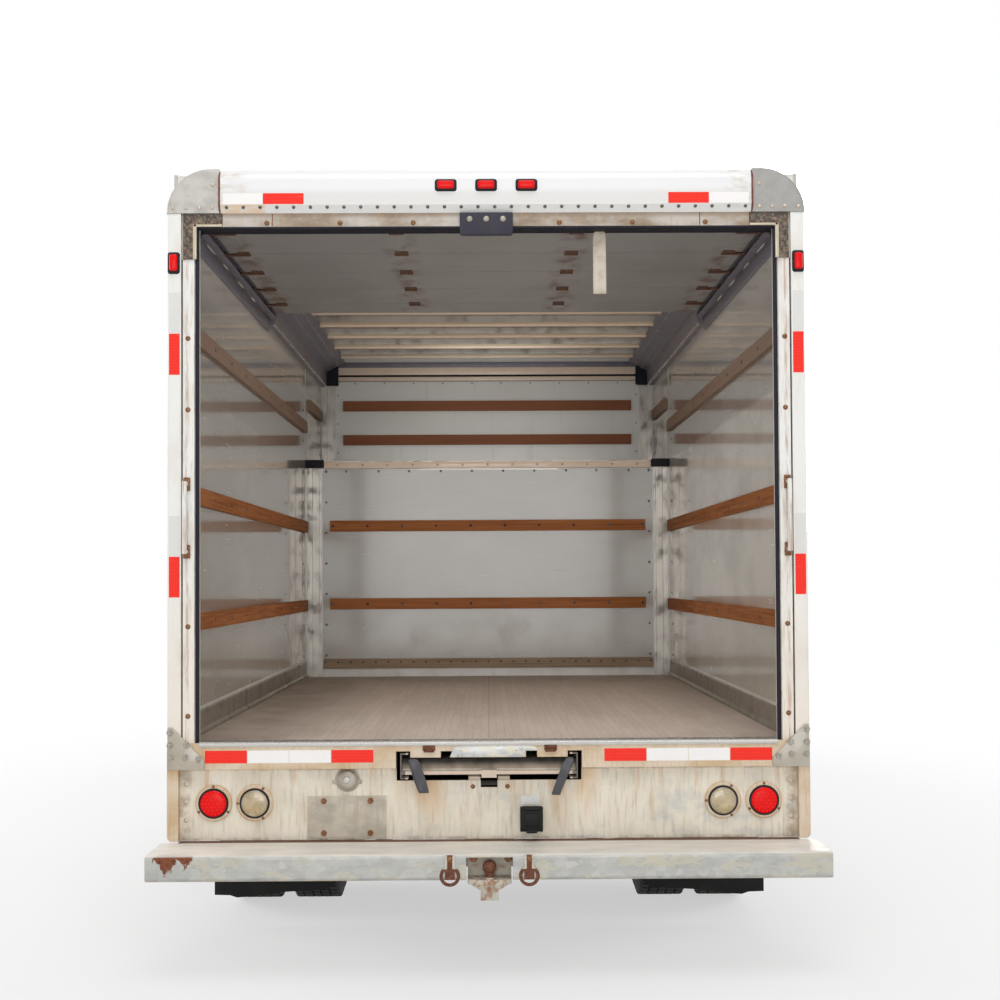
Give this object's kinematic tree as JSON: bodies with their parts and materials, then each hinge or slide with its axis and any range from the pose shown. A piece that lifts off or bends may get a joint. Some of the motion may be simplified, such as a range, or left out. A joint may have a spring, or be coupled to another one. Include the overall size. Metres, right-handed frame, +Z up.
{
  "type": "box truck",
  "caption": "Light box truck with an over-cab attic, an open roll-up rear door, a stowed loading ramp, a step bumper and a tow hitch.",
  "frame": {"origin": "on the ground under the middle of the truck's bounding box, on its centre plane", "axes": "+Z up, +Y towards the truck's front, +X towards its right-hand side"},
  "size_m": [2.6, 6.4, 3.066],
  "materials": {
    "chassis_black": "satin",
    "engine_iron": "rough",
    "tank_plastic": "matte",
    "exhaust_steel": "weathered",
    "axle_iron": "rough",
    "floor_wood": "worn",
    "wall_laminate": "gloss",
    "roof_skin": "translucent",
    "bare_aluminium": "satin",
    "slat_wood": "varnished",
    "frame_paint": "worn",
    "apron_zinc": "weathered",
    "cast_aluminium": "cast",
    "cap_white": "gloss",
    "door_panel": "satin",
    "zinc_track": "galvanised",
    "lamp_red": "gloss",
    "black_plastic": "matte",
    "step_zinc": "galvanised, worn",
    "hitch_iron": "rusted",
    "flap_rubber": "matte",
    "cab_white": "gloss",
    "lamp_clear": "gloss",
    "window_glass": "gloss",
    "bumper_grey": "satin",
    "cabin_plastic": "grained",
    "seat_fabric": "woven",
    "ramp_aluminium": "worn",
    "hinge_steel": "rusted",
    "tyre_rubber": "matte",
    "rim_paint": "satin"
  },
  "bodies": {
    "truck": {"chassis_frame": "chassis_black", "engine_block": "engine_iron", "drive_line": "engine_iron", "fuel_tank": "tank_plastic", "exhaust_pipe": "exhaust_steel", "rear_axle": "axle_iron", "front_axle": "axle_iron", "floor_sills": "chassis_black", "box_floor": "floor_wood", "side_walls": "wall_laminate", "front_wall": "wall_laminate", "attic_nose": "wall_laminate", "roof": "roof_skin", "roof_bows": "bare_aluminium", "body_rails": "bare_aluminium", "tie_slats": "slat_wood", "rear_frame": "frame_paint", "rear_apron": "apron_zinc", "corner_castings": "cast_aluminium", "header_cap": "cap_white", "roll_up_door": "door_panel", "door_hinges": "hinge_steel", "door_tracks": "zinc_track", "tail_lamps": "lamp_red", "marker_lamps": "lamp_red", "plate_bracket": "apron_zinc", "trailer_socket": "black_plastic", "rear_bumper": "step_zinc", "tow_hitch": "hitch_iron", "mud_flaps": "flap_rubber", "cab_body": "cab_white", "front_panels": "cab_white", "headlamps": "lamp_clear", "grille": "black_plastic", "cab_glass": "window_glass", "front_bumper": "bumper_grey", "dashboard": "cabin_plastic", "seats": "seat_fabric"},
    "hood": {"hood": "cab_white"},
    "ramp": {"ramp": "ramp_aluminium"},
    "left_door": {"left_door": "cab_white", "left_door_glass": "window_glass", "left_mirror": "black_plastic"},
    "right_door": {"right_door": "cab_white", "right_door_glass": "window_glass", "right_mirror": "black_plastic"},
    "left_knuckle": {"left_knuckle": "axle_iron"},
    "right_knuckle": {"right_knuckle": "axle_iron"},
    "tie_rod": {"tie_rod": "axle_iron"},
    "steering_wheel": {"steering_wheel": "black_plastic"},
    "front_left_wheel": {"front_left_tyre": "tyre_rubber", "front_left_rim": "rim_paint"},
    "front_right_wheel": {"front_right_tyre": "tyre_rubber", "front_right_rim": "rim_paint"},
    "rear_left_wheels": {"rear_left_tyres": "tyre_rubber", "rear_left_rims": "rim_paint"},
    "rear_right_wheels": {"rear_right_tyres": "tyre_rubber", "rear_right_rims": "rim_paint"}
  },
  "joints": [
    {"name": "left_steer", "type": "hinge", "parent": "truck", "child": "left_knuckle", "pos_m": [-0.73, 2.423, 0.37], "axis": [0, 0, 1], "range_deg": [-32, 32]},
    {"name": "right_steer", "type": "hinge", "parent": "truck", "child": "right_knuckle", "pos_m": [0.73, 2.423, 0.37], "axis": [0, 0, 1], "range_deg": [-32, 32]},
    {"name": "tie_rod_swing", "type": "hinge", "parent": "left_knuckle", "child": "tie_rod", "pos_m": [-0.73, 2.258, 0.3], "axis": [0, 0, 1], "range_deg": [-32, 32]},
    {"name": "steering_wheel_turn", "type": "hinge", "parent": "truck", "child": "steering_wheel", "pos_m": [-0.615, 1.896, 1.152], "axis": [0, -0.829, 0.5592], "range_deg": [-512, 512]},
    {"name": "front_left_spin", "type": "hinge", "parent": "left_knuckle", "child": "front_left_wheel", "pos_m": [-0.85, 2.423, 0.37], "axis": [1, 0, 0], "continuous": true},
    {"name": "front_right_spin", "type": "hinge", "parent": "right_knuckle", "child": "front_right_wheel", "pos_m": [0.85, 2.423, 0.37], "axis": [1, 0, 0], "continuous": true},
    {"name": "rear_left_spin", "type": "hinge", "parent": "truck", "child": "rear_left_wheels", "pos_m": [-0.93, -1.59, 0.37], "axis": [1, 0, 0], "continuous": true},
    {"name": "rear_right_spin", "type": "hinge", "parent": "truck", "child": "rear_right_wheels", "pos_m": [0.93, -1.59, 0.37], "axis": [1, 0, 0], "continuous": true},
    {"name": "left_door_swing", "type": "hinge", "parent": "truck", "child": "left_door", "pos_m": [-1.01, 1.953, 1], "axis": [0, 0, -1], "range_deg": [0, 65]},
    {"name": "right_door_swing", "type": "hinge", "parent": "truck", "child": "right_door", "pos_m": [1.01, 1.953, 1], "axis": [0, 0, 1], "range_deg": [0, 65]},
    {"name": "hood_lift", "type": "hinge", "parent": "truck", "child": "hood", "pos_m": [0, 2.35, 1.318], "axis": [1, 0, 0], "range_deg": [0, 50]},
    {"name": "ramp_slide", "type": "slide", "parent": "truck", "child": "ramp", "axis": [0, -1, 0], "range_m": [0, 2.6]}
  ],
  "couplings": [
    {"joint": "right_steer", "follows": "left_steer", "ratio": 1},
    {"joint": "tie_rod_swing", "follows": "left_steer", "ratio": -1},
    {"joint": "steering_wheel_turn", "follows": "left_steer", "ratio": 16}
  ]
}
